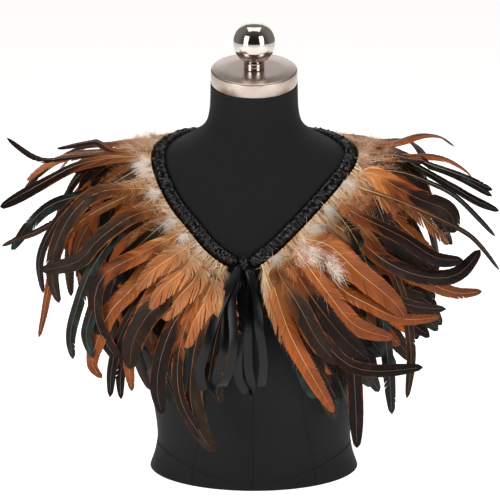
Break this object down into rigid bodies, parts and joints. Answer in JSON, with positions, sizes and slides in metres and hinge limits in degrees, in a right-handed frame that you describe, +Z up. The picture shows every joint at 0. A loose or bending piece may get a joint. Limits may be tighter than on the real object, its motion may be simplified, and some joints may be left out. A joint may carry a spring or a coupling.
{
  "type": "feather cape on a dress form",
  "caption": "Shoulder cape of curling cock feathers sewn in rows under a gathered satin neckband, tied with a ribbon bow, on a black dress form.",
  "frame": {"origin": "middle of the dress form's flat underside", "axes": "+Z up along the neck, -Y is the front, +X is to the right as seen from the front"},
  "size_m": [0.6094, 0.3228, 0.572],
  "materials": {
    "form_cloth": "matte black stretch jersey over a padded form",
    "cap_steel": "brushed, satin",
    "ball_chrome": "polished",
    "satin": "black satin, gathered on the neckband",
    "feathers_under": "long dark green-black cock feathers",
    "feathers_middle": "dark brown cock feathers with ginger edges",
    "feathers_top": "ginger cock feathers with cream down at the quill"
  },
  "bodies": {
    "root": {"dress_form": "form_cloth", "neck_cap": "cap_steel", "ball_collar": "ball_chrome", "ball": "ball_chrome", "neckband_left": "satin", "neckband_right": "satin", "feathers_under_front_left": "feathers_under", "feathers_under_back_left": "feathers_under", "feathers_under_back_right": "feathers_under", "feathers_under_front_right": "feathers_under", "feathers_middle_front_left": "feathers_middle", "feathers_middle_back_left": "feathers_middle", "feathers_middle_back_right": "feathers_middle", "feathers_middle_front_right": "feathers_middle", "feathers_top_front_left": "feathers_top", "feathers_top_back_left": "feathers_top", "feathers_top_back_right": "feathers_top", "feathers_top_front_right": "feathers_top", "bow_knot": "satin", "bow_loop_left": "satin", "bow_loop_right": "satin", "bow_tail_left": "satin", "bow_tail_right": "satin"}
  },
  "joints": []
}
